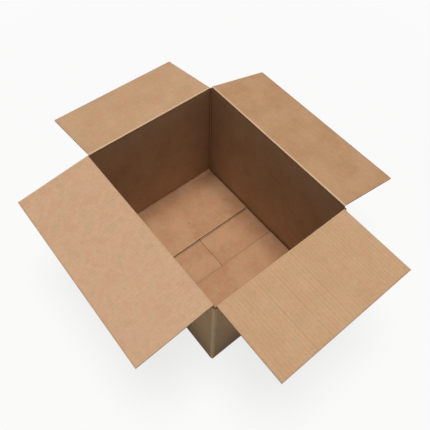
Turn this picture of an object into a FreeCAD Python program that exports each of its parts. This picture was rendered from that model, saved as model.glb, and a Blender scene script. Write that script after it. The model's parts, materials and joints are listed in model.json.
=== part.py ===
import FreeCAD, Part
import math
import os

# Open corrugated cardboard box, a regular slotted carton with its four top flaps folded out.
# One sheet makes the four walls, the glued side seam and the taped bottom. Each top flap
# swings on its own crease. Millimetres, +Z up, X along the long side, and the origin is on
# the ground under the middle of the box.

# Sizes of the space inside the closed box
inside_length = 457.0
inside_width = 356.0
inside_height = 330.0

# Corrugated board: thickness, wave pitch, and the paper layers that the wave runs between
board = 4.0
flute_pitch = 8.0
liner = 0.4
medium = 0.35
flute_contact = 0.7
flute_narrow = 0.5

# Depth of the open flutes at the free edges of the inner bottom flaps
bottom_flute_depth = 12.0

# Folded layout
layer_gap = 0.3
flap_meeting_gap = 3.0
slot_half = 5.0
slot_depth = 3.0
corner_radius = 5.0
fold_radius = 3.5
fold_bead = 1.5

# Creases of the top flaps: a bead on the flap's root turns in a seat along the wall's top,
# and the outer liner is crushed thin on both sides of the crease
crease_clearance = 0.2
crease_lip = 0.3
crush_length = 8.5
crush_end = 10.5
closing_clearance = 0.15
neck_height = 0.9
swing_clearance = 0.4

# How far each open flap droops below level, in degrees
front_droop_angle = 7.5
back_droop_angle = 15.5
left_droop_angle = 12.0
right_droop_angle = 0.5

# Glued side seam: a tab on the left wall, inside the front wall
seam_tab_width = 35.0
seam_tab_taper = 9.0
seam_tab_margin = 5.0
seam_edge_setback = 1.0

# Packing tape over the bottom seam, pressed into the liner so that the box stands flat
tape_width = 48.0
tape_thickness = 0.12
tape_lift = 0.05
tape_leg = 55.0
tape_side_clearance = 0.5

# Middle planes of the walls, and heights of the folds and creases
half_board = board / 2
wall_mid_x = inside_length / 2 + half_board
wall_mid_y = inside_width / 2 + half_board
flap_length = wall_mid_y - flap_meeting_gap / 2
strip_half_x = wall_mid_x - slot_half
strip_half_y = wall_mid_y - slot_half
major_fold_z = half_board
minor_fold_z = major_fold_z + board + layer_gap
floor_top_z = minor_fold_z + half_board
minor_crease_z = floor_top_z + inside_height + half_board
major_crease_z = minor_crease_z + board + layer_gap
slot_floor_z = minor_crease_z - slot_depth

# Section of a top crease
seat_radius = half_board + crease_clearance
crush_angle = math.atan(half_board / crush_length)
lip_offset = half_board - crease_lip
lip_drop = math.sqrt(seat_radius ** 2 - lip_offset ** 2)

# Turn about Z that brings a piece built on the right side (+X) to each side
right_turn = 0
back_turn = 90
left_turn = 180
front_turn = 270

up = FreeCAD.Vector(0, 0, 1)
across = FreeCAD.Vector(0, 1, 0)
along = FreeCAD.Vector(1, 0, 0)
origin = FreeCAD.Vector(0, 0, 0)


def section_point(point):
    return FreeCAD.Vector(point[0], 0, point[1])


def plan_point(point):
    return FreeCAD.Vector(point[0], point[1], 0)


def on_circle(centre, radius, degrees):
    angle = math.radians(degrees)
    return (centre[0] + radius * math.cos(angle), centre[1] + radius * math.sin(angle))


# Each step is one point for a straight line, or a middle and an end point for an arc
def outline_edges(place, start, steps):
    edges = []
    here = start
    for step in steps:
        if len(step) == 1:
            edges.append(Part.LineSegment(place(here), place(step[0])).toShape())
        else:
            edges.append(Part.Arc(place(here), place(step[0]), place(step[1])).toShape())
        here = step[-1]
    return edges


def outline_face(place, start, steps):
    return Part.Face(Part.Wire(outline_edges(place, start, steps)))


def turned(shape, degrees):
    copy = shape.copy()
    copy.rotate(origin, up, degrees)
    return copy


# A wall and its bottom flap in one folded strip, with the seat of the top crease. The flap
# ends short of its free edge by the given setback.
def folded_strip(wall_mid, fold_z, crease_z, half_width, setback):
    inner = wall_mid - half_board
    outer = wall_mid + half_board
    under = fold_z - half_board
    above = fold_z + half_board
    flap_edge = wall_mid - flap_length + setback
    crease = (wall_mid, crease_z)
    fold_centre = (outer - fold_radius, under + fold_radius)
    crush_degrees = math.degrees(crush_angle)
    start = (inner, above + fold_bead)
    steps = [
        [(inner, crease_z - lip_drop)],
        [(wall_mid - lip_offset, crease_z - lip_drop)],
        [on_circle(crease, seat_radius, -90), on_circle(crease, seat_radius, crush_degrees - 90)],
        [(outer, crease_z - crush_length)],
        [(outer, under + fold_radius)],
        [on_circle(fold_centre, fold_radius, -45), (outer - fold_radius, under)],
        [(flap_edge, under)],
        [(flap_edge, above)],
        [(inner - fold_bead, above)],
        [on_circle((inner, above), fold_bead, 135), start],
    ]
    strip = outline_face(section_point, start, steps).extrude(across * (2 * half_width))
    strip.translate(across * -half_width)
    return strip


# A scored corner between two walls: round outside, with the crushed liner's bead inside
def scored_corner():
    inner_x = wall_mid_x - half_board
    inner_y = wall_mid_y - half_board
    outer_x = wall_mid_x + half_board
    outer_y = wall_mid_y + half_board
    round_centre = (outer_x - corner_radius, outer_y - corner_radius)
    start = (inner_x, strip_half_y)
    steps = [
        [(inner_x, inner_y - fold_bead)],
        [on_circle((inner_x, inner_y), fold_bead, 225), (inner_x - fold_bead, inner_y)],
        [(strip_half_x, inner_y)],
        [(strip_half_x, outer_y)],
        [(outer_x - corner_radius, outer_y)],
        [on_circle(round_centre, corner_radius, 45), (outer_x, outer_y - corner_radius)],
        [(outer_x, strip_half_y)],
        [start],
    ]
    corner = outline_face(plan_point, start, steps).extrude(up * (slot_floor_z - minor_fold_z))
    corner.translate(up * minor_fold_z)
    return corner


# The seam corner: one wall bends into the tab, and the other wall's cut edge lies over it
def seam_corner():
    inner_x = wall_mid_x - half_board
    outer_x = wall_mid_x + half_board
    glue_y = wall_mid_y - half_board
    outer_y = wall_mid_y + half_board
    cut_x = outer_x - seam_edge_setback
    bend_radius = glue_y - strip_half_y
    bend_centre = (outer_x - bend_radius, strip_half_y)
    height = slot_floor_z - minor_fold_z
    start = (inner_x, strip_half_y)
    bend_steps = [
        [(inner_x, glue_y)],
        [(outer_x - bend_radius, glue_y)],
        [on_circle(bend_centre, bend_radius, 45), (outer_x, strip_half_y)],
        [start],
    ]
    bend = outline_face(plan_point, start, bend_steps).extrude(up * height)
    bend.translate(up * minor_fold_z)
    overlap = Part.makeBox(
        cut_x - strip_half_x,
        outer_y - glue_y,
        height,
        FreeCAD.Vector(strip_half_x, glue_y, minor_fold_z),
    )
    tab_low = floor_top_z + seam_tab_margin
    tab_high = slot_floor_z - seam_tab_margin
    tab_root = (inner_x, tab_low)
    tab_steps = [
        [(inner_x, tab_high)],
        [(inner_x - seam_tab_width, tab_high - seam_tab_taper)],
        [(inner_x - seam_tab_width, tab_low + seam_tab_taper)],
        [tab_root],
    ]
    tab = outline_face(section_point, tab_root, tab_steps).extrude(across * board)
    tab.translate(across * (glue_y - board))
    return [bend, overlap, tab]


def mirrored_across_x(shape):
    return shape.mirror(origin, along)


def mirrored_across_y(shape):
    return shape.mirror(origin, across)


# Shallow strip of liner that the tape is pressed into, through both outer bottom flaps
def tape_recess():
    length = 2 * (wall_mid_x + board)
    width = tape_width + 2 * tape_side_clearance
    depth = tape_thickness + tape_lift
    corner = FreeCAD.Vector(-length / 2, -width / 2, -depth)
    return Part.makeBox(length, width, 2 * depth, corner)


# One opening of the corrugated section: wide at one liner, narrow at the other
def flute_opening(middle, side):
    rise = half_board - liner
    wide = flute_pitch / 2 - flute_contact
    corners = [
        (middle - wide, side * rise),
        (middle + wide, side * rise),
        (middle + flute_narrow, side * (medium - rise)),
        (middle - flute_narrow, side * (medium - rise)),
    ]
    points = [FreeCAD.Vector(crush_end, y, z) for y, z in corners]
    return Part.makePolygon(points + points[:1])


# The cut face at a flap's free edge: the board's outline with the mouths of its flutes
def corrugated_face(half_width):
    waves = int((2 * half_width - 2 * liner) / flute_pitch)
    first = -(waves - 1) * flute_pitch / 2
    rim = [
        FreeCAD.Vector(crush_end, -half_width, -half_board),
        FreeCAD.Vector(crush_end, half_width, -half_board),
        FreeCAD.Vector(crush_end, half_width, half_board),
        FreeCAD.Vector(crush_end, -half_width, half_board),
    ]
    wires = [Part.makePolygon(rim + rim[:1])]
    for wave in range(waves):
        wires.append(flute_opening(first + wave * flute_pitch, 1))
    for wave in range(waves - 1):
        wires.append(flute_opening(first + (wave + 0.5) * flute_pitch, -1))
    return Part.Face(wires, "Part::FaceMakerCheese")


# An end wall with its inner bottom flap, and the open flutes at that flap's free edge
def end_strip():
    strip = folded_strip(wall_mid_x, minor_fold_z, minor_crease_z, strip_half_y, bottom_flute_depth)
    flutes = corrugated_face(strip_half_y).extrude(along * bottom_flute_depth)
    flap_edge = wall_mid_x - flap_length
    flutes.translate(FreeCAD.Vector(flap_edge - crush_end, 0, minor_fold_z))
    return [strip, flutes]


# The box's sheet: four walls, four bottom flaps, four corners and the glued seam
def box_body():
    end_pieces = end_strip()
    side_strip = folded_strip(wall_mid_y, major_fold_z, major_crease_z, strip_half_x, 0)
    corner = scored_corner()
    pieces = end_pieces[1:]
    for piece in end_pieces + seam_corner():
        pieces.append(turned(piece, left_turn))
    pieces.append(turned(side_strip, back_turn))
    pieces.append(turned(side_strip, front_turn))
    pieces.append(corner)
    pieces.append(mirrored_across_x(corner))
    pieces.append(mirrored_across_y(corner))
    sheet = end_pieces[0].fuse(pieces).removeSplitter()
    return sheet.cut(tape_recess())


# A top flap, built level and pointing out along +X with its crease on the Y axis: a bead,
# a neck, the crushed board beside the crease, then the open corrugated panel
def level_flap(half_width):
    bead = (0, 0)
    root = half_board + closing_clearance
    neck_degrees = math.degrees(math.asin(neck_height / half_board))
    crush_degrees = math.degrees(crush_angle)
    neck_start = on_circle(bead, half_board, neck_degrees)
    start = (crush_end, half_board)
    steps = [
        [(root, half_board)],
        [(root, neck_height)],
        [neck_start],
        [on_circle(bead, half_board, 180), on_circle(bead, half_board, -crush_degrees)],
        [(crush_length, -half_board)],
        [(crush_end, -half_board)],
        [start],
    ]
    crushed = outline_face(section_point, start, steps).extrude(across * (2 * half_width))
    crushed.translate(across * -half_width)
    panel = corrugated_face(half_width).extrude(along * (flap_length - crush_end))
    return crushed.fuse(panel).removeSplitter()


def placed_flap(wall_mid, crease_z, strip_half, droop, turn):
    flap = level_flap(strip_half - swing_clearance)
    flap.rotate(origin, across, droop)
    flap.translate(FreeCAD.Vector(wall_mid, 0, crease_z))
    return turned(flap, turn)


# Edges of the tape's path from the middle of the bottom to the top of the right end's leg,
# at the given distance out from the board: along the bottom, across to the end wall's fold,
# round it and up the wall
def tape_path(offset):
    outer = wall_mid_x + half_board
    recess = tape_thickness + tape_lift
    edge = (strip_half_x, recess)
    fold_centre = (outer - fold_radius, minor_fold_z - half_board + fold_radius)
    reach_x = fold_centre[0] - edge[0]
    reach_z = fold_centre[1] - edge[1]
    reach = math.hypot(reach_x, reach_z)
    slope = math.atan2(reach_z, reach_x) - math.asin(fold_radius / reach)
    slope_degrees = math.degrees(slope)
    radius = fold_radius + offset
    edge_mid = on_circle(edge, offset, slope_degrees / 2 - 90)
    edge_end = on_circle(edge, offset, slope_degrees - 90)
    fold_start = on_circle(fold_centre, radius, slope_degrees - 90)
    fold_mid = on_circle(fold_centre, radius, slope_degrees / 2 - 45)
    fold_end = on_circle(fold_centre, radius, 0)
    start = (0, recess - offset)
    steps = [[(edge[0], recess - offset)]]
    if offset > 0:
        steps.append([edge_mid, edge_end])
    steps.append([fold_start])
    steps.append([fold_mid, fold_end])
    steps.append([(outer + offset, tape_leg)])
    return start, steps


def bottom_tape():
    inner_start, inner_steps = tape_path(0)
    outer_start, outer_steps = tape_path(tape_thickness)
    edges = outline_edges(section_point, inner_start, inner_steps)
    edges += outline_edges(section_point, outer_start, outer_steps)
    edges += outline_edges(section_point, inner_start, [[outer_start]])
    edges += outline_edges(section_point, inner_steps[-1][-1], [[outer_steps[-1][-1]]])
    section = Part.Face(Part.Wire(Part.__sortEdges__(edges)))
    half = section.extrude(across * tape_width)
    half.translate(across * (-tape_width / 2))
    return half.fuse(mirrored_across_x(half)).removeSplitter()


nodes = {
    "box_body": box_body(),
    "bottom_tape": bottom_tape(),
    "front_flap": placed_flap(wall_mid_y, major_crease_z, strip_half_x, front_droop_angle, front_turn),
    "back_flap": placed_flap(wall_mid_y, major_crease_z, strip_half_x, back_droop_angle, back_turn),
    "left_flap": placed_flap(wall_mid_x, minor_crease_z, strip_half_y, left_droop_angle, left_turn),
    "right_flap": placed_flap(wall_mid_x, minor_crease_z, strip_half_y, right_droop_angle, right_turn),
}

os.makedirs("parts", exist_ok=True)
for name, shape in nodes.items():
    shape.exportStep("parts/" + name + ".step")
    print(name, len(shape.Solids), round(shape.Volume))
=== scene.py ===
import json
import math

import bmesh
import bpy
from mathutils import Matrix, Vector


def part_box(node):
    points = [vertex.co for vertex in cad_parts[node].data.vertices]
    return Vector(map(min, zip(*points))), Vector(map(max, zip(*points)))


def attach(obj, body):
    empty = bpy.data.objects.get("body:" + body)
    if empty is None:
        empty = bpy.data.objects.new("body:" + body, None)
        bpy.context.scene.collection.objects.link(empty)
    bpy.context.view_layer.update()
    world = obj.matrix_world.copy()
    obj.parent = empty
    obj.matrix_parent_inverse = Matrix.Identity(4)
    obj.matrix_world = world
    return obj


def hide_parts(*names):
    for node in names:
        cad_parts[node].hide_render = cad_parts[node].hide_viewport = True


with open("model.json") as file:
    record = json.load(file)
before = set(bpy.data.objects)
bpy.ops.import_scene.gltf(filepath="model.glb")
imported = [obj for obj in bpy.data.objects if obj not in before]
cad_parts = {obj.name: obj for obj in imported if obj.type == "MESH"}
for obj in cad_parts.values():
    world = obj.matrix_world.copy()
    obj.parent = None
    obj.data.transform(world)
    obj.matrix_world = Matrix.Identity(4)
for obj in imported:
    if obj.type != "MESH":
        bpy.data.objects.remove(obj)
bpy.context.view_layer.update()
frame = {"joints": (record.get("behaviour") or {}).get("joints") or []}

joints = {joint["child"]: joint for joint in frame["joints"]}


def mm(value):
    return value * 0.001


def linear(hexColour):  # sRGB hex to the linear values that shaders use
    parts = [int(hexColour[i:i + 2], 16) / 255 for i in (1, 3, 5)]
    return [p / 12.92 if p <= 0.04045 else ((p + 0.055) / 1.055) ** 2.4 for p in parts] + [1]


def smooth(value):
    t = min(1, max(0, value))
    return t * t * (3 - 2 * t)


def newMaterial(name):
    material = bpy.data.materials.new(name)
    material.use_nodes = True
    material.node_tree.nodes.clear()
    return material, material.node_tree


def addNode(tree, kind, inputs=None, output=0, **settings):
    node = tree.nodes.new(kind)
    for name, value in settings.items():
        setattr(node, name, value)
    for key, value in (inputs or {}).items():
        if isinstance(value, bpy.types.NodeSocket):
            tree.links.new(value, node.inputs[key])
        else:
            node.inputs[key].default_value = value
    return node.outputs[output] if node.outputs else None


# Kraft liner, unbleached brown paper: dry and matt, with soft clouds of paler, pinkish and
# greenish pulp, short fibres, a few dark flecks, and the waves' light and shade under it painted as faint
# lines 8 mm apart.
# Each layer: size in mm, stretch across and along the flutes, detail.
kraftLiner = {
    "layers": {
        "cloud": (62, 1, 0.9, 3),
        "tint": (30, 1, 0.9, 2),
        "floc": (8, 0.8, 1, 3),
        "fibre": (1.5, 0.3, 1, 2),
        "streak": (11, 1, 0.02, 3),
        "fleck": (3.4, 0.5, 1, 1),
        "mask": (45, 1, 0.15, 1),
    },
    "tints": (("cloud", 0.35, 0.65, 0.6, "pale"), ("tint", 0.5, 0.68, 0.45, "pink"),
              ("tint", 0.48, 0.3, 0.45, "green"), ("fleck", 0.7, 0.78, 0.25, "fleck")),
    "grain": (("floc", 0.3, 0.7, 0.03), ("fibre", 0.3, 0.7, 0.045), ("streak", 0.3, 0.7, 0.008)),
    "seedDrift": 0.37,
    "maskRange": (0.35, 0.65),
    "colours": {"pale": "#d2aa85", "pink": "#cc9c78", "green": "#c2a078", "fleck": "#94693f"},
    # pale colour for rubbed wear and painted highlights, dark colour mostly for painted shade and partly
    # for dust
    "highlightAndWornColour": "#ecd0ab",
    "shadeAndDustColour": "#533620",
    "patchRange": (0.3, 0.6),
    "patchShare": 0.6,
    "smudgeColour": "#7d5233",
    "smudgeShare": 0.6,
    "smudgeCore": 0.3,
    "flutePitchMm": 8.0,
    "fluteShares": (0.4, 1.6),
    "flocRelief": 0.6,
    "streakRelief": 1.2,
    "reliefStrength": 0.5,
    "reliefMm": 0.12,
    "roughness": 0.86,
    "ior": 1.47,
}

# Each face's tone, its pattern's shift, how strongly the waves' painted light and shade show, and its
# clouds' strength
boardTones = {
    "floor": ("#ba8860", 1.0, 0.011, 0.65),
    # the inner walls' tone is the liner darkened with painted shade
    "wall": ("#a9845f", 3.1, 0.014, 0.3),
    # the outside's tone is the outer liner darkened in part with painted shade
    "outside": ("#a68861", 21.0, 0.016, 0.25),
    "front_flap": ("#cfa785", 4.7, 0.012, 1.0),
    "back_flap": ("#bb8e66", 8.4, 0.012, 0.6),
    "left_flap": ("#c59c75", 12.1, 0.014, 1.0),
    "right_flap": ("#c69e77", 15.8, 0.028, 0.8),
}
floorTop = 0.0083
floorSmudges = (  # small stains on the floor: x, y and radius
    (-0.112, 0.009, 0.0032), (-0.108, 0.011, 0.002), (-0.165, 0.094, 0.0018), (0.11, -0.06, 0.002))


def makeKraft(name, tone, seed, fluteShow, clouds, settings, smudges=()):
    material, tree = newMaterial(name)
    uv = addNode(tree, "ShaderNodeUVMap", uv_map="sheet")
    layer = {}
    for key, (sizeMm, across, along, detail) in settings["layers"].items():
        place = addNode(tree, "ShaderNodeMapping", {
            "Vector": uv, "Scale": (across, along, 1), "Location": (seed, seed * settings["seedDrift"], 0)})
        layer[key] = addNode(tree, "ShaderNodeTexNoise", {
            "Vector": place, "Scale": 1000 / sizeMm, "Detail": detail}, noise_dimensions="2D")
    shade = linear(tone)
    for key, low, high, share, colour in settings["tints"]:
        factor = addNode(tree, "ShaderNodeMapRange", {
            "Value": layer[key], "From Min": low, "From Max": high, "To Max": share * clouds})
        shade = addNode(tree, "ShaderNodeMix", {
            0: factor, 6: shade, 7: linear(settings["colours"][colour])}, 2, data_type="RGBA")
    # painted light and shade of the waves under the liner, as faint lines 8 mm apart
    across = addNode(tree, "ShaderNodeSeparateXYZ", {0: uv})
    turns = addNode(tree, "ShaderNodeMath", {
        0: across, 1: 2000 * math.pi / settings["flutePitchMm"]}, operation="MULTIPLY")
    flute = addNode(tree, "ShaderNodeMath", {0: turns}, operation="COSINE")
    faint, strong = settings["fluteShares"]
    low, high = settings["maskRange"]
    amount = addNode(tree, "ShaderNodeMapRange", {
        "Value": layer["mask"], "From Min": low, "From Max": high,
        "To Min": fluteShow * faint, "To Max": fluteShow * strong})
    gain = addNode(tree, "ShaderNodeMath", {0: flute, 1: amount, 2: 1.0}, operation="MULTIPLY_ADD")
    for key, low, high, share in settings["grain"]:
        part = addNode(tree, "ShaderNodeMapRange", {
            "Value": layer[key], "From Min": low, "From Max": high,
            "To Min": 1 - share, "To Max": 1 + share})
        gain = addNode(tree, "ShaderNodeMath", {0: gain, 1: part}, operation="MULTIPLY")
    shade = addNode(tree, "ShaderNodeVectorMath", {0: shade, "Scale": gain}, operation="SCALE")
    # Above 0 the value pales the board, for rubbed wear and painted highlights, and below 0 it darkens it,
    # mostly as painted shade and partly as dust
    wearAndLight = addNode(tree, "ShaderNodeAttribute", output="Fac", attribute_name="wearAndLight")
    low, high = settings["patchRange"]
    for sign, colour in ((-1, "shadeAndDustColour"), (1, "highlightAndWornColour")):
        patch = addNode(tree, "ShaderNodeMapRange", {
            "Value": layer["fibre"], "From Min": low, "From Max": high,
            "To Min": settings["patchShare"] * sign, "To Max": sign})
        factor = addNode(tree, "ShaderNodeMath", {0: wearAndLight, 1: patch}, operation="MULTIPLY", use_clamp=True)
        shade = addNode(tree, "ShaderNodeMix", {
            0: factor, 6: shade, 7: linear(settings[colour])}, 2, data_type="RGBA")
    for x, y, radius in smudges:
        place = addNode(tree, "ShaderNodeTexCoord", output="Object")
        spread = addNode(tree, "ShaderNodeVectorMath", {
            0: place, 1: (x, y, floorTop)}, "Value", operation="DISTANCE")
        factor = addNode(tree, "ShaderNodeMapRange", {
            "Value": spread, "From Min": radius, "From Max": radius * settings["smudgeCore"],
            "To Max": settings["smudgeShare"]})
        shade = addNode(tree, "ShaderNodeMix", {
            0: factor, 6: shade, 7: linear(settings["smudgeColour"])}, 2, data_type="RGBA")
    relief = addNode(tree, "ShaderNodeMath", {
        0: layer["floc"], 1: settings["flocRelief"], 2: layer["fibre"]}, operation="MULTIPLY_ADD")
    relief = addNode(tree, "ShaderNodeMath", {
        0: layer["streak"], 1: settings["streakRelief"], 2: relief}, operation="MULTIPLY_ADD")
    normal = addNode(tree, "ShaderNodeBump", {
        "Height": relief, "Strength": settings["reliefStrength"], "Distance": mm(settings["reliefMm"])})
    shader = addNode(tree, "ShaderNodeBsdfPrincipled", {
        "Base Color": shade, "Normal": normal, "IOR": settings["ior"], "Roughness": settings["roughness"]})
    addNode(tree, "ShaderNodeOutputMaterial", {"Surface": shader})
    return material


# Cut edge and inner wave of the board: rough torn fibre, greyer and darker than the liner
cutBoard = {
    "light": "#a07850",
    "dark": "#70502f",
    "paintedShadeColour": "#40260f",
    "fibreMm": 1.1,
    "fibreDetail": 3,
    "fibreRange": (0.3, 0.7),
    "reliefStrength": 0.6,
    "reliefMm": 0.15,
    "roughness": 0.95,
    "ior": 1.45,
}


def makeCutBoard(name, settings):
    material, tree = newMaterial(name)
    place = addNode(tree, "ShaderNodeTexCoord", output="Object")
    fibre = addNode(tree, "ShaderNodeTexNoise", {
        "Vector": place, "Scale": 1000 / settings["fibreMm"], "Detail": settings["fibreDetail"]})
    low, high = settings["fibreRange"]
    factor = addNode(tree, "ShaderNodeMapRange", {"Value": fibre, "From Min": low, "From Max": high})
    shade = addNode(tree, "ShaderNodeMix", {
        0: factor, 6: linear(settings["dark"]), 7: linear(settings["light"])}, 2, data_type="RGBA")
    # painted shade: values below 0 darken the cut board
    wearAndLight = addNode(tree, "ShaderNodeAttribute", output="Fac", attribute_name="wearAndLight")
    paintedShade = addNode(tree, "ShaderNodeMath", {0: wearAndLight, 1: -1}, operation="MULTIPLY", use_clamp=True)
    shade = addNode(tree, "ShaderNodeMix", {
        0: paintedShade, 6: shade, 7: linear(settings["paintedShadeColour"])}, 2, data_type="RGBA")
    normal = addNode(tree, "ShaderNodeBump", {
        "Height": fibre, "Strength": settings["reliefStrength"], "Distance": mm(settings["reliefMm"])})
    shader = addNode(tree, "ShaderNodeBsdfPrincipled", {
        "Base Color": shade, "Normal": normal, "IOR": settings["ior"], "Roughness": settings["roughness"]})
    addNode(tree, "ShaderNodeOutputMaterial", {"Surface": shader})
    return material


# Packing tape, thin brown polypropylene film: glossy, with small creases and fine drawn lines along it
packingTape = {
    "film": "#ad7a3f",
    "deep": "#8f602c",
    "layers": {"crease": (9, 0.25, 4), "drawn": (1.1, 0.01, 1)},  # size in mm, stretch along, detail
    "creaseRange": (0.3, 0.7),
    "drawnRelief": 0.12,
    "reliefStrength": 0.35,
    "reliefMm": 0.3,
    "roughness": 0.33,
    "ior": 1.49,
}


def makeTapeFilm(name, settings):
    material, tree = newMaterial(name)
    uv = addNode(tree, "ShaderNodeUVMap", uv_map="sheet")
    layer = {}
    for key, (sizeMm, along, detail) in settings["layers"].items():
        place = addNode(tree, "ShaderNodeMapping", {"Vector": uv, "Scale": (1, along, 1)})
        layer[key] = addNode(tree, "ShaderNodeTexNoise", {
            "Vector": place, "Scale": 1000 / sizeMm, "Detail": detail}, noise_dimensions="2D")
    low, high = settings["creaseRange"]
    factor = addNode(tree, "ShaderNodeMapRange", {
        "Value": layer["crease"], "From Min": low, "From Max": high})
    shade = addNode(tree, "ShaderNodeMix", {
        0: factor, 6: linear(settings["film"]), 7: linear(settings["deep"])}, 2, data_type="RGBA")
    relief = addNode(tree, "ShaderNodeMath", {
        0: layer["drawn"], 1: settings["drawnRelief"], 2: layer["crease"]}, operation="MULTIPLY_ADD")
    normal = addNode(tree, "ShaderNodeBump", {
        "Height": relief, "Strength": settings["reliefStrength"], "Distance": mm(settings["reliefMm"])})
    shader = addNode(tree, "ShaderNodeBsdfPrincipled", {
        "Base Color": shade, "Normal": normal, "IOR": settings["ior"], "Roughness": settings["roughness"]})
    addNode(tree, "ShaderNodeOutputMaterial", {"Surface": shader})
    return material


# The board's section: sizes in mm
sheet = {
    "thickness": 4.0,
    "liner": 0.4,
    "medium": 0.28,
    "flutePitch": 8.0,
    "washboard": 0.05,
    "steps": 6,
    "waveSteps": 10,
    "crushWidth": 4.0,
    "crushDepth": 0.16,
    "cavity": 26.0,
}
finishes = ["inside", "cut", "wall", "outside"]  # a board piece's material slots
mergeGap = 0.0005  # mm
sharpAngle = 0.7  # radians
halfBoard = sheet["thickness"] / 2
linerInside = halfBoard - sheet["liner"]


# One line of a swept section: its place, its surface's outward push, its wear and painted light, and the
# next finish
def row(p, q, push=(0, 0), wearAndLight=0.0, face="inside"):
    return {"p": p, "q": q, "push": push, "wearAndLight": wearAndLight, "face": face}


def arcRows(centre, radius, start, end, count, wearAndLight=0.0, face="inside"):
    angles = [math.radians(start + (end - start) * i / count) for i in range(count + 1)]
    return [row(centre[0] + radius * math.cos(a), centre[1] + radius * math.sin(a), (0, 0), wearAndLight, face)
            for a in angles]


def sheetLayers(bm):
    uvLayer = bm.loops.layers.uv.get("sheet") or bm.loops.layers.uv.new("sheet")
    wearAndLightLayer = bm.verts.layers.float.get("wearAndLight") or bm.verts.layers.float.new("wearAndLight")
    return uvLayer, wearAndLightLayer


# A grid over the section's closed line and the stations: each vertex's station and line
def layGrid(bm, rows, stations):
    before = set(bm.verts)
    bmesh.ops.create_grid(bm, x_segments=len(stations) - 1, y_segments=len(rows), size=0.5)
    return {vert: (round((vert.co.x + 0.5) * (len(stations) - 1)), round((vert.co.y + 0.5) * len(rows)))
            for vert in bm.verts if vert not in before}


# Gives the laid grid its finishes and its sheet coordinates, and fills its two free ends
def closeGrid(bm, key, closed, uvLayer, uvAt):
    for face in {face for vert in key for face in vert.link_faces}:
        lowest = min(key[v][1] for v in face.verts)
        face.material_index = finishes.index(closed[lowest]["face"])
        for loop in face.loops:
            loop[uvLayer].uv = uvAt(*key[loop.vert])
    bmesh.ops.remove_doubles(bm, verts=list(key), dist=mm(mergeGap))
    rims = [e for e in bm.edges if e.is_boundary]
    for cap in bmesh.ops.holes_fill(bm, edges=rims, sides=0)["faces"]:
        cap.material_index = finishes.index("cut")


def runLengths(closed, start, sign=1):
    lengths = [start]
    for one, two in zip(closed, closed[1:]):
        lengths.append(lengths[-1] + sign * math.hypot(two["p"] - one["p"], two["q"] - one["q"]))
    return lengths


# Sweeps a section across the flutes, with the liner's faint waves pushed in and out.
# Marks are lines along the flutes: each one's station, width, depth, painted shade and the finishes it
# shows on.
def sweepSection(bm, rows, stations, place, alongStart, uvSign=1, marks=()):
    closed = rows + rows[:1]
    waves = {}
    for i, b in enumerate(stations):
        for finish in finishes:
            push, paintedShade = math.cos(2 * math.pi * b / sheet["flutePitch"]) * sheet["washboard"], 0
            for at, width, depth, darkness, shownOn in marks:
                if finish in shownOn:
                    push -= depth * smooth(1 - abs(b - at) / width)
                    paintedShade += darkness * smooth(1 - abs(b - at) / width)
            waves[i, finish] = (push, paintedShade)
    uvLayer, wearAndLightLayer = sheetLayers(bm)
    key = layGrid(bm, rows, stations)
    for vert, (i, j) in key.items():
        line = closed[j]
        wave, paintedShade = waves[i, line["face"]]
        vert[wearAndLightLayer] = line["wearAndLight"] - paintedShade * abs(line["push"][0] + line["push"][1])
        vert.co = place(line["p"] + line["push"][0] * wave, line["q"] + line["push"][1] * wave, stations[i])
    along = runLengths(closed, alongStart, uvSign)
    closeGrid(bm, key, closed, uvLayer, lambda i, j: (mm(stations[i]), mm(along[j])))


# Sweeps a section upward along the flutes, with painted shade at its top end
def sweepUpright(bm, rows, turn, low, high):
    s = boxShell
    count = s["uprightSteps"]
    body = high - s["postTop"] - low
    stations = [low + body * i / count for i in range(count + 1)] + [high]
    closed = rows + rows[:1]
    uvLayer, wearAndLightLayer = sheetLayers(bm)
    key = layGrid(bm, rows, stations)
    for vert, (i, j) in key.items():
        vert[wearAndLightLayer] = s["postTopShade"] if stations[i] == high else closed[j]["wearAndLight"]
        vert.co = (turn[0] * mm(closed[j]["p"]), turn[1] * mm(closed[j]["q"]), mm(stations[i]))
    across = runLengths(closed, s["wallMidY"] - s["slotHalf"])
    closeGrid(bm, key, closed, uvLayer, lambda i, j: (mm(across[j]), mm(stations[i])))


def evenStations(halfWidth):
    step = sheet["flutePitch"] / sheet["steps"]
    count = round(2 * halfWidth / step)
    return [-halfWidth + 2 * halfWidth * i / count for i in range(count + 1)]


# The fluted paper between the liners, one sine wave with true thickness
def waveSheet(bm, nearEnd, farEnd, halfWidth, place, wearAndLight=0.0):
    pitch = sheet["flutePitch"]
    height = linerInside - sheet["medium"] / 2
    count = round(2 * halfWidth / pitch * sheet["waveSteps"])
    stations = [-halfWidth + 2 * halfWidth * i / count for i in range(count + 1)]

    def onWave(p, q, b):
        turn = 2 * math.pi * b / pitch
        slope = height * 2 * math.pi / pitch * math.sin(turn)
        return place(p, height * math.cos(turn) + q * math.sqrt(1 + slope * slope), b)

    half = sheet["medium"] / 2
    section = [row(p, q, (0, 0), wearAndLight, "cut")
               for p, q in ((nearEnd, half), (farEnd, half), (farEnd, -half), (nearEnd, -half))]
    sweepSection(bm, section, stations, onWave, nearEnd)


def finishPiece(bm, name, body, replaced, materials):
    bmesh.ops.recalc_face_normals(bm, faces=bm.faces)
    for face in bm.faces:
        face.smooth = True
    for edge in bm.edges:
        if len(edge.link_faces) == 2 and edge.calc_face_angle() > sharpAngle:
            edge.smooth = False
    bmesh.ops.triangulate(bm, faces=[f for f in bm.faces if len(f.verts) > 4])
    mesh = bpy.data.meshes.new(name)
    bm.to_mesh(mesh)
    bm.free()
    piece = bpy.data.objects.new(name, mesh)
    bpy.context.scene.collection.objects.link(piece)
    for material in materials:
        mesh.materials.append(material)
    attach(piece, body)
    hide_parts(replaced)
    print(name, len(mesh.vertices), "vertices")
    return piece


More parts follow.
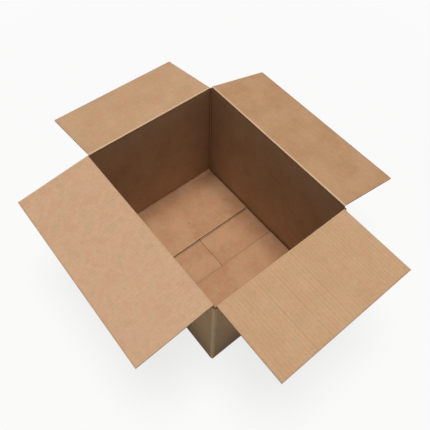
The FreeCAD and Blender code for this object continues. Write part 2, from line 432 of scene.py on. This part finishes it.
# A top flap, seen along its crease: the bead at the root, the shallow score groove beside it,
# the crushed outer liner under it, then the open corrugated panel. Sizes in mm. The panel's lines
# are given from the free edge, as shares of the length, and from the crease.
topFlap = {
    "crushLength": 8.5,
    "crushEnd": 11.0,
    "washStart": 9.0,
    "washFull": 19.0,
    "fromEdge": (0, 1.2, 4),
    "shares": (0.75, 0.5, 0.3),
    "fromCrease": (32, 24, 19, 16, 13, 11, 9, 6.5),
    "crushLines": (3.2, 5.0, 7.0),
    "groove": ((4.2, 0.0), (3.4, 0.1), (2.9, 0.32), (2.45, 0.58), (2.1, 0.74), (1.8, 0.78)),
    "beadSteps": 20,
    # painted highlight along each crease bead, strong on the far flaps and faint on the near ones
    "beadLight": {"right_flap": 0.15, "left_flap": 0.8, "front_flap": 0.1, "back_flap": 0.8},
    "beadLightLow": -0.4,
    "beadLightHigh": 1.2,
    "beadOutside": -0.3,
    # beyond this the bead's inner side takes the walls' tone, darkened with painted shade
    "beadWall": -0.5,
    "edgeTone": -0.3,
    "edgeToneWidth": 2.5,
    "waveInset": (0.5, 0.15),
    "sunkFlutes": {
        "right_flap": (76, 12, -44, -84),
        "left_flap": (36,),
        "front_flap": (-92,),
        "back_flap": (60,),
    },
    # each sunk line's width, depth, painted shade in its groove, and the finishes it shows on
    "sunkMark": (2.6, 0.16, 0.07, ("inside",)),
}


def flapSection(length, beadLight):
    s = topFlap
    stops = [length - inset for inset in s["fromEdge"]] + [length * share for share in s["shares"]]
    stops += s["fromCrease"]

    def wash(a):
        return smooth((a - s["washStart"]) / (s["washFull"] - s["washStart"]))

    def edge(a):
        return s["edgeTone"] * smooth((a - length) / s["edgeToneWidth"] + 1)

    rows = [row(a, halfBoard, (0, wash(a)), edge(a)) for a in stops]
    rows += [row(a, halfBoard - drop) for a, drop in s["groove"]]
    grooveDepth = halfBoard - s["groove"][-1][1]
    crush = math.degrees(math.atan(halfBoard / s["crushLength"]))
    start = math.degrees(math.asin(grooveDepth / halfBoard))
    bead = arcRows((0, 0), halfBoard, start, 360 - crush, s["beadSteps"])
    # the bead's painted highlight grows toward its top
    beadLightSpan = s["beadLightHigh"] - s["beadLightLow"]
    for line in bead:
        line["wearAndLight"] = beadLight * smooth((line["q"] - s["beadLightLow"]) / beadLightSpan)
        # the bead's underside takes the outer liner, and its inner side takes the walls' tone with its
        # painted shade
        if line["q"] < s["beadOutside"]:
            line["face"] = "outside"
        elif line["p"] < s["beadWall"]:
            line["face"] = "wall"
    rows += bead
    rows[-1]["face"] = "outside"
    rows += [row(a, -halfBoard * a / s["crushLength"], face="outside") for a in s["crushLines"]]
    outerStops = [s["crushLength"]] + [a for a in reversed(stops) if a > s["crushEnd"]]
    rows += [row(a, -halfBoard, (0, wash(a)), edge(a), "outside") for a in outerStops]
    rows[-1]["face"] = "cut"
    rows += [
        row(length, -linerInside, (0, 1), face="cut"),
        row(s["crushEnd"], -linerInside, face="cut"),
        row(s["crushEnd"], linerInside, face="cut"),
        row(length, linerInside, (0, 1), face="cut"),
    ]
    return rows


def makeTopFlap(node, boardMaterials):
    joint = joints[node]
    pivot = Vector(joint["pos_m"])
    crease = Vector(joint["axis"])
    droop = math.radians(-joint["range_deg"][0] - 180)  # the closed limit lies this much past a half turn
    outward = crease.cross(Vector((0, 0, 1)))
    turn = Matrix.Rotation(droop, 3, crease)
    outDirection, upDirection = turn @ outward, turn @ Vector((0, 0, 1))
    low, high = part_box(node)
    halfWidth = max(abs(high.dot(crease)), abs(low.dot(crease))) * 1000
    reach = max((high - pivot).dot(outward), (low - pivot).dot(outward)) * 1000
    length = (reach - halfBoard * abs(math.sin(droop))) / math.cos(droop)

    def place(a, c, b):
        squeeze = 1
        if a >= topFlap["crushLength"]:
            squeeze -= sheet["crushDepth"] * smooth((abs(b) - halfWidth) / sheet["crushWidth"] + 1)
        return pivot + outDirection * mm(a) + upDirection * mm(c * squeeze) + crease * mm(b)

    bm = bmesh.new()
    section = flapSection(length, topFlap["beadLight"][node])
    marks = [(at, *topFlap["sunkMark"]) for at in topFlap["sunkFlutes"][node]]
    sweepSection(bm, section, evenStations(halfWidth), place, length, -1, marks)
    root, tip = topFlap["waveInset"]
    waveSheet(bm, topFlap["crushEnd"] - root, length - tip, halfWidth, place)
    return finishPiece(bm, node + "_board", joint["child"], node, boardMaterials)


# The folded sheet of the box: sizes in mm, read from the imported box where they can be. Wear and painted
# light are pale above 0, and below 0 painted shade and dust are dark. Stops are the lines across a wall or
# a floor flap, from its fold or crease.
bodyLow, bodyHigh = (v * 1000 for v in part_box("box_body"))
boxShell = {
    "wallMidX": bodyHigh.x - halfBoard,
    "wallMidY": bodyHigh.y - halfBoard,
    "minorCreaseZ": joints["right_flap"]["pos_m"][2] * 1000,
    "majorCreaseZ": joints["front_flap"]["pos_m"][2] * 1000,
    "layerGap": 0.3,
    "meetingGap": 3.0,
    "slotHalf": 5.0,
    "slotDepth": 3.0,
    "cornerRadius": 5.0,
    "foldRadius": 3.5,
    "foldBead": 1.5,
    "seatRadius": 2.2,
    "lip": 1.7,
    "crushLength": 8.5,
    "seatSteps": 6,
    "foldSteps": 6,
    "beadSteps": 5,
    "scoreSteps": 6,
    "cornerSteps": 8,
    "fadeWidth": 9.0,
    "footFlat": 3.0,
    "rimFlat": 5.0,
    "floorFlat": 4.0,
    "edgeStop": 4.0,
    "recessRamp": 0.1,
    "wallStops": (18, 32, 50, 120, 230),
    "rimStops": (34, 20, 9),
    "floorStops": (5, 9, 14, 30, 55),
    # rows up the walls' foot: each one's rise and its share of the fold's painted shade
    "footRows": ((3.8, 0.8), (7.0, 0.35)),
    # pale along the outer fold of the corner: rubbed wear, and a painted highlight on one side of the ridge
    "cornerWearAndHighlight": (0.25, 0.28, 0.3, 0.3, 0.3, 0.25, 0.05, 0, 0, 0),
    # painted light on the inner walls, paler toward the rim
    "rimLight": 0.16,
    "rimReach": 120.0,
    "foldWear": 0.35,
    # painted shade where the walls meet the floor flaps, darker beside the taped ones
    "foldShade": -0.45,
    "tapedFoldShade": -1.0,
    # painted light at the minor floor flaps' free edges: a highlight on the far one, shade on the near one
    "endEdgeLight": 0.3,
    "tapedEdgeWear": 0.1,
    # a little painted shade on the corners' score beads
    "beadLight": -0.1,
    "endMarks": (  # painted shade in the corners and on the floor beside them, from the strip's two ends
        (0, 2.6, 0, 0.8, ("wall",)),
        (6.5, 1.8, 0, 0.16, ("wall",)),
        (0, 5.0, 0, 0.3, ("inside",)),
        (0, 105.0, 0, 0.36, ("inside",)),
    ),
    # painted shade on the inner walls by the far corner, and on the outside by the near corner
    "farCornerShade": (120.0, 0, 0.38, ("wall",)),
    "nearCornerShade": (130.0, 0, 0.25, ("outside",)),
    # painted shadow lines beside the inner floor flaps' free edges
    "layerShadows": ((49.5, 4.0, 0, 0.6, ("inside",)), (-49.5, 3.0, 0, 0.25, ("inside",))),
    # painted shade on the floor, darker toward the walls
    "floorShade": 0.4,
    "floorShadeWidth": 100.0,
    # painted shade on the floor flaps' cut edges and their inner wave
    "freeEdgeShade": -0.85,
    # painted shade beside the corners' score beads
    "cornerShade": -1.0,
    "scoreLine": 0.8,
    "uprightSteps": 12,
    "postTop": 0.6,
    # painted shade on the corner posts' tops
    "postTopShade": -0.6,
    # painted shade on the outside walls, darker toward the foot
    "footShade": -0.4,
    "footHeight": 200.0,
    "outerGap": 1.3,
    "waveInset": (0.5, 0.2, 0.3),
    "plug": {"inset": 0.4, "reach": 3.8, "low": 2.5, "high": 8.0, "paintedShade": -0.9},  # crushed fold corner, dark with painted shade
}
flapLength = boxShell["wallMidY"] - boxShell["meetingGap"] / 2
majorFoldZ = halfBoard
minorFoldZ = majorFoldZ + sheet["thickness"] + boxShell["layerGap"]
slotFloorZ = boxShell["minorCreaseZ"] - boxShell["slotDepth"]


def stripSection(wallMid, foldZ, creaseZ, recess):
    s = boxShell
    inner, outer = wallMid - halfBoard, wallMid + halfBoard
    under, above = foldZ - halfBoard, foldZ + halfBoard
    edge = recess["edge"]
    drop = math.sqrt(s["seatRadius"] ** 2 - s["lip"] ** 2)
    crush = math.degrees(math.atan(halfBoard / s["crushLength"]))
    walls = list(s["wallStops"]) + [creaseZ - stop for stop in s["rimStops"]]

    def fade(z):
        overFoot, underRim = z - above - s["footFlat"], creaseZ - s["rimFlat"] - z
        return smooth(overFoot / s["fadeWidth"]) * smooth(underRim / s["fadeWidth"])

    def floorFade(u):
        return smooth((inner - s["floorFlat"] - u) / s["fadeWidth"])

    def floorShade(u):
        return -s["floorShade"] * smooth(1 - (inner - u) / s["floorShadeWidth"])

    def rimLight(z):
        return s["rimLight"] * smooth(1 - (creaseZ - z) / s["rimReach"])

    def footShade(z):
        return s["footShade"] * smooth(1 - z / s["footHeight"])

    floors = [inner - stop for stop in (*s["floorStops"], s["floorShadeWidth"])]
    floors += [edge + s["edgeStop"], edge]
    rows = [row(inner, above + rise, (0, 0), recess["foldShade"] * share, "wall")
            for rise, share in ((s["foldBead"], 1), *s["footRows"])]
    rows += [row(inner, z, (-fade(z), 0), rimLight(z), "wall") for z in walls]
    rows += [row(inner, creaseZ - drop, face="cut"), row(wallMid - s["lip"], creaseZ - drop, face="cut")]
    seatStart = 270 - math.degrees(math.asin(s["lip"] / s["seatRadius"]))
    rows += arcRows((wallMid, creaseZ), s["seatRadius"], seatStart, 270 + crush, s["seatSteps"],
                    face="cut")[1:]
    rows[-1]["face"] = "outside"
    rows += [row(outer, creaseZ - s["crushLength"], face="outside")]
    rows += [row(outer, z, (-fade(z), 0), footShade(z), "outside") for z in reversed(walls)]
    foldCentre = (outer - s["foldRadius"], under + s["foldRadius"])
    rows += arcRows(foldCentre, s["foldRadius"], 0, -90, s["foldSteps"], s["foldWear"], "outside")
    for u in floors:
        lifted = recess["depth"] if u < recess["half"] else 0
        if lifted and rows[-1]["q"] == under:
            rows += [row(recess["half"], under, face="outside"),
                     row(recess["half"] - s["recessRamp"], under + lifted, face="outside")]
        rows += [row(u, under + lifted, (0, 0 if recess["depth"] else floorFade(u)), face="outside")]
    rows[-1]["face"] = "cut"
    back = edge + sheet["cavity"]
    low, high = under + sheet["liner"], above - sheet["liner"]
    rows += [row(u, v, (0, push), s["freeEdgeShade"], "cut")
             for u, v, push in ((edge, low, 0), (back, low, 0), (back, high, 0), (edge, high, 1))]
    rows += [row(edge, above, (0, floorFade(edge)), recess["edgeTone"])]
    rows += [row(u, above, (0, floorFade(u)), floorShade(u)) for u in reversed(floors[:-1])]
    rows += arcRows((inner, above), s["foldBead"], 180, 90, s["beadSteps"], recess["foldShade"])[:-1]
    return rows


def makeStrip(bm, direction, wallMid, foldZ, creaseZ, halfWidth, recess):
    side = Vector((0, 0, 1)).cross(direction)

    def place(p, q, b):
        return direction * mm(p) + side * mm(b) + Vector((0, 0, mm(q)))

    def insideFlap(p, q, b):
        return place(p, foldZ + q, b)

    section = stripSection(wallMid, foldZ, creaseZ, recess)
    marks = [(sign * (halfWidth - inset), *mark)
             for inset, *mark in boxShell["endMarks"] for sign in (-1, 1)]
    if direction.x < 0 or direction.y > 0:
        marks += [((direction.x + direction.y) * halfWidth, *boxShell["farCornerShade"])]
    if direction.x > 0:
        marks += [(-halfWidth, *boxShell["nearCornerShade"])]
    if recess["depth"]:  # painted shadow lines beside the inner flaps' free edges, the left one darker
        marks += [(-at * side.x, *mark) for at, *mark in boxShell["layerShadows"]]
    start = foldZ + halfBoard + boxShell["foldBead"]
    sweepSection(bm, section, evenStations(halfWidth), place, start, 1, marks)
    root, tip, sides = boxShell["waveInset"]
    waveSheet(bm, recess["edge"] + sheet["cavity"] + root, recess["edge"] + tip, halfWidth - sides,
              insideFlap, boxShell["freeEdgeShade"])


# A corner of the walls from above: the score bead inside, between two lines of painted shade, and the fold
# outside
def cornerSection():
    s = boxShell
    innerX, innerY = s["wallMidX"] - halfBoard, s["wallMidY"] - halfBoard
    outerX, outerY = s["wallMidX"] + halfBoard, s["wallMidY"] + halfBoard
    startX, startY = s["wallMidX"] - s["slotHalf"], s["wallMidY"] - s["slotHalf"]
    radius, score = s["cornerRadius"], s["scoreLine"]
    rows = [row(innerX, startY, (0, 0), s["cornerShade"], "wall"),
            row(innerX, startY + score, (0, 0), s["cornerShade"], "wall")]
    rows += arcRows((innerX, innerY), s["foldBead"], 270, 180, s["scoreSteps"], s["beadLight"], "wall")
    rows += [row(startX + score, innerY, (0, 0), s["cornerShade"], "wall"),
             row(startX, innerY, (0, 0), s["cornerShade"]),
             row(startX, outerY, face="outside")]
    rows += arcRows((outerX - radius, outerY - radius), radius, 90, 0, s["cornerSteps"], 0, "outside")
    for line, wearAndLight in zip(rows[-len(s["cornerWearAndHighlight"]):], s["cornerWearAndHighlight"]):
        line["wearAndLight"] = wearAndLight
    rows += [row(outerX, startY)]
    return rows


# The glued seam at the back left of the front wall: the left wall bends into a tab inside it
glueSeam = {
    "tabWidth": 35.0,
    "taper": 9.0,
    "margin": 5.0,
    "setback": 1.0,
    "edgeRound": 0.5,
    "cutWear": 0.3,
    "tabShift": 0.31,
}


def seamPieces(bm):
    s, g = boxShell, glueSeam
    innerX, outerX = s["wallMidX"] - halfBoard, s["wallMidX"] + halfBoard
    glueY, outerY = s["wallMidY"] - halfBoard, s["wallMidY"] + halfBoard
    startX, startY = s["wallMidX"] - s["slotHalf"], s["wallMidY"] - s["slotHalf"]
    bend = glueY - startY
    turn = (-1, -1)
    rows = [row(innerX, startY, face="wall"), row(innerX, glueY), row(outerX - bend, glueY, face="outside")]
    rows += arcRows((outerX - bend, startY), bend, 90, 0, s["foldSteps"], s["foldWear"], "outside")[1:]
    sweepUpright(bm, rows, turn, minorFoldZ, slotFloorZ)
    cut = outerX - g["setback"]
    rows = [row(startX, glueY), row(startX, outerY, face="outside"),
            row(cut, outerY, wearAndLight=g["cutWear"], face="cut"), row(cut, glueY)]
    sweepUpright(bm, rows, turn, minorFoldZ, slotFloorZ)
    seamTab(bm, innerX, glueY)


def seamTab(bm, rootX, glueY):
    g = glueSeam
    low, high = minorFoldZ + halfBoard + g["margin"], slotFloorZ - g["margin"]
    before = set(bm.verts)
    bmesh.ops.create_grid(bm, x_segments=1, y_segments=1, size=0.5)
    outline = [v for v in bm.verts if v not in before]
    for vert in outline:
        isTip, isHigh = vert.co.x > 0, vert.co.y > 0
        x = rootX - g["tabWidth"] * isTip
        z = high - g["taper"] * isTip if isHigh else low + g["taper"] * isTip
        vert.co = (-mm(x), -mm(glueY), mm(z))
    grown = bmesh.ops.extrude_face_region(bm, geom=list(outline[0].link_faces))["geom"]
    tips = [v for v in grown if isinstance(v, bmesh.types.BMVert)]
    bmesh.ops.translate(bm, verts=tips, vec=(0, mm(sheet["thickness"]), 0))
    rims = [e for e in bm.edges if all(v in tips for v in e.verts)]
    rounded = bmesh.ops.bevel(bm, geom=rims, offset=mm(g["edgeRound"]), affect="EDGES", segments=2,
                              profile=0.5, material=-1)
    uvLayer = bm.loops.layers.uv["sheet"]
    for face in {f for v in outline + list(rounded["verts"]) for f in v.link_faces}:
        for loop in face.loops:
            loop[uvLayer].uv = (g["tabShift"] + loop.vert.co.x + loop.vert.co.y, loop.vert.co.z)


def makeBoxShell(boardMaterials, tape):
    s = boxShell
    bm = bmesh.new()
    stripX, stripY = s["wallMidX"] - s["slotHalf"], s["wallMidY"] - s["slotHalf"]
    folded = {"depth": 0, "half": 0, "edge": s["wallMidX"] - flapLength, "foldShade": s["foldShade"]}
    taped = {"depth": tape["thickness"] + tape["lift"], "half": tape["width"] / 2 + tape["sideGap"],
             "edge": s["outerGap"] / 2, "foldShade": s["tapedFoldShade"], "edgeTone": s["tapedEdgeWear"]}
    for sign in (1, -1):
        # painted highlight on the far inner flap's free edge, painted shade on the near one
        end = dict(folded, edgeTone=-s["endEdgeLight"] * sign)
        makeStrip(bm, Vector((sign, 0, 0)), s["wallMidX"], minorFoldZ, s["minorCreaseZ"], stripY, end)
        makeStrip(bm, Vector((0, sign, 0)), s["wallMidY"], majorFoldZ, s["majorCreaseZ"], stripX, taped)
    plug = s["plug"]
    nearX, nearY = stripX - plug["inset"], stripY - plug["inset"]
    farX, farY = nearX + plug["reach"], nearY + plug["reach"]
    square = [row(x, y, wearAndLight=plug["paintedShade"])
              for x, y in ((nearX, nearY), (farX, nearY), (farX, farY), (nearX, farY))]
    for turn in ((1, 1), (1, -1), (-1, 1), (-1, -1)):
        sweepUpright(bm, square, turn, plug["low"], plug["high"])
        if turn != (-1, -1):
            sweepUpright(bm, cornerSection(), turn, minorFoldZ, slotFloorZ)
    seamPieces(bm)
    return finishPiece(bm, "box_board", "box", "box_body", boardMaterials)


# Packing tape along the bottom seam, over both ends and a little way up the end walls. Sizes in mm.
tapeStrip = {
    "width": 48.0,
    "thickness": 0.12,
    "lift": 0.05,
    "leg": 55.0,
    "sideGap": 0.5,
    "steps": 40,
    "edgeRadius": 0.001,
    "foldSteps": 7,
    "floorShares": (0, 0.35, 0.7, 1),
    "legStops": (20, 38),
}


# The tape's line from the middle of the bottom to the end of its leg, offset outward from its glued side
def tapeLine(offset):
    s = boxShell
    recess = tapeStrip["thickness"] + tapeStrip["lift"]
    outer = s["wallMidX"] + halfBoard
    edge = Vector((s["wallMidX"] - s["slotHalf"], recess))
    centre = Vector((outer - s["foldRadius"], minorFoldZ - halfBoard + s["foldRadius"]))
    reach = centre - edge
    slope = math.degrees(math.atan2(reach.y, reach.x) - math.asin(s["foldRadius"] / reach.length))
    radius = s["foldRadius"] + offset
    line = [row(edge.x * share, recess - offset) for share in tapeStrip["floorShares"]]
    line += arcRows(edge, max(offset, tapeStrip["edgeRadius"]), slope / 2 - 90, slope - 90, 1)
    line += arcRows(centre, radius, slope - 90, 0, tapeStrip["foldSteps"])
    line += [row(outer + offset, z) for z in (*tapeStrip["legStops"], tapeStrip["leg"])]
    return line


def makeTape(film):
    outside, inside = tapeLine(tapeStrip["thickness"]), tapeLine(0)
    mirrored = [dict(r, p=-r["p"]) for r in reversed(outside)][:-1]
    back = [dict(r, p=-r["p"]) for r in inside[1:]]
    rows = mirrored + outside + list(reversed(inside)) + back
    half = tapeStrip["width"] / 2
    stations = [-half + 2 * half * i / tapeStrip["steps"] for i in range(tapeStrip["steps"] + 1)]
    bm = bmesh.new()
    sweepSection(bm, rows, stations, lambda p, q, b: Vector((mm(p), mm(b), mm(q))), 0)
    for face in bm.faces:
        face.material_index = 0
    return finishPiece(bm, "tape_strip", "box", "bottom_tape", [film])


# Plain studio: a white floor, one soft lamp high overhead and a little even light all round.
# The camera sees part of the floor as plain white, so the shadow on it stays but is faint.
studio = {
    "floorSize": 40.0,
    "floorColour": "#f7f7f6",
    "shadowShare": 0.2,
    "shadowReach": (0.7, 2.5),
    "lampTarget": (0, 0, 0.34),
    "lampHeight": 6.0,
    "lampSize": 3.2,
    "lampShift": (0.2, -0.2),
    "lampPower": 300,
    "ambient": 0.05,
}


def makeStudio(s):
    bm = bmesh.new()
    bmesh.ops.create_grid(bm, x_segments=1, y_segments=1, size=s["floorSize"] / 2)
    mesh = bpy.data.meshes.new("studio_floor")
    bm.to_mesh(mesh)
    bm.free()
    floor = bpy.data.objects.new("studio_floor", mesh)
    bpy.context.scene.collection.objects.link(floor)
    material, tree = newMaterial("floorPaper")
    world = bpy.data.worlds.new("studio_world")
    bpy.context.scene.world = world
    world.use_nodes = True
    world.node_tree.nodes.clear()
    seen = {}
    for place in (tree, world.node_tree):
        seen[place] = addNode(place, "ShaderNodeLightPath", output="Is Camera Ray")
        path = seen[place].node
        for ray in ("Is Glossy Ray", "Is Transmission Ray"):
            seen[place] = addNode(place, "ShaderNodeMath", {
                0: seen[place], 1: path.outputs[ray]}, operation="MAXIMUM")
    paper = addNode(tree, "ShaderNodeBsdfDiffuse", {"Color": linear(s["floorColour"])})
    white = addNode(tree, "ShaderNodeEmission", {"Strength": 1.0})
    place = addNode(tree, "ShaderNodeTexCoord", output="Object")
    spread = addNode(tree, "ShaderNodeVectorMath", {0: place}, "Value", operation="LENGTH")
    near, far = s["shadowReach"]
    fade = addNode(tree, "ShaderNodeMapRange", {
        "Value": spread, "From Min": near, "From Max": far, "To Min": 1 - s["shadowShare"], "To Max": 1.0})
    share = addNode(tree, "ShaderNodeMath", {0: seen[tree], 1: fade}, operation="MULTIPLY")
    mixed = addNode(tree, "ShaderNodeMixShader", {0: share, 1: paper, 2: white})
    addNode(tree, "ShaderNodeOutputMaterial", {"Surface": mixed})
    mesh.materials.append(material)
    tree = world.node_tree
    strength = addNode(tree, "ShaderNodeMapRange", {
        "Value": seen[tree], "To Min": s["ambient"], "To Max": 1.0})
    sky = addNode(tree, "ShaderNodeBackground", {"Color": (1, 1, 1, 1), "Strength": strength})
    addNode(tree, "ShaderNodeOutputWorld", {"Surface": sky})
    lamp = bpy.data.lights.new("overhead_lamp", "AREA")
    lamp.shape, lamp.size, lamp.energy = "DISK", s["lampSize"], s["lampPower"]
    holder = bpy.data.objects.new("overhead_lamp", lamp)
    holder.location = (*s["lampShift"], s["lampHeight"])
    aim = Vector(s["lampTarget"]) - holder.location
    holder.rotation_euler = aim.to_track_quat("-Z", "Y").to_euler()
    bpy.context.scene.collection.objects.link(holder)


# The photograph's viewpoint, worked out from the box's edges and creases
viewpoint = {
    "azimuth": 49.29,
    "elevation": 58.05,
    "roll": 2.16,
    "distance": 1.2255,
    "target": (-0.0154, 0.0234, 0.1592),
    "lens": 40.41,
    "sensor": 36,
}


def makeCamera(v):
    azimuth, elevation = math.radians(v["azimuth"]), math.radians(v["elevation"])
    level = math.cos(elevation)
    back = Vector((math.sin(azimuth) * level, -math.cos(azimuth) * level, math.sin(elevation)))
    data = bpy.data.cameras.new("camera")
    data.lens, data.sensor_width = v["lens"], v["sensor"]
    data.dof.use_dof = False
    camera = bpy.data.objects.new("camera", data)
    camera.location = Vector(v["target"]) + back * v["distance"]
    facing = back.to_track_quat("Z", "Y").to_matrix()
    camera.rotation_euler = (facing @ Matrix.Rotation(math.radians(v["roll"]), 3, "Z")).to_euler()
    bpy.context.scene.collection.objects.link(camera)
    bpy.context.scene.camera = camera


print("materials")
cutEdge = makeCutBoard("cutBoardEdge", cutBoard)
kraft = {name: makeKraft("kraftLiner_" + name, *tone, kraftLiner, floorSmudges if name == "floor" else ())
         for name, tone in boardTones.items()}
tapeFilm = makeTapeFilm("packingTapeFilm", packingTape)

print("box and tape")
makeBoxShell([kraft["floor"], cutEdge, kraft["wall"], kraft["outside"]], tapeStrip)
makeTape(tapeFilm)

print("top flaps")
for node in ("front_flap", "back_flap", "left_flap", "right_flap"):
    makeTopFlap(node, [kraft[node], cutEdge, kraft[node], kraft["outside"]])

print("studio and camera")
makeStudio(studio)
makeCamera(viewpoint)
bpy.context.scene.view_settings.view_transform = "Standard"
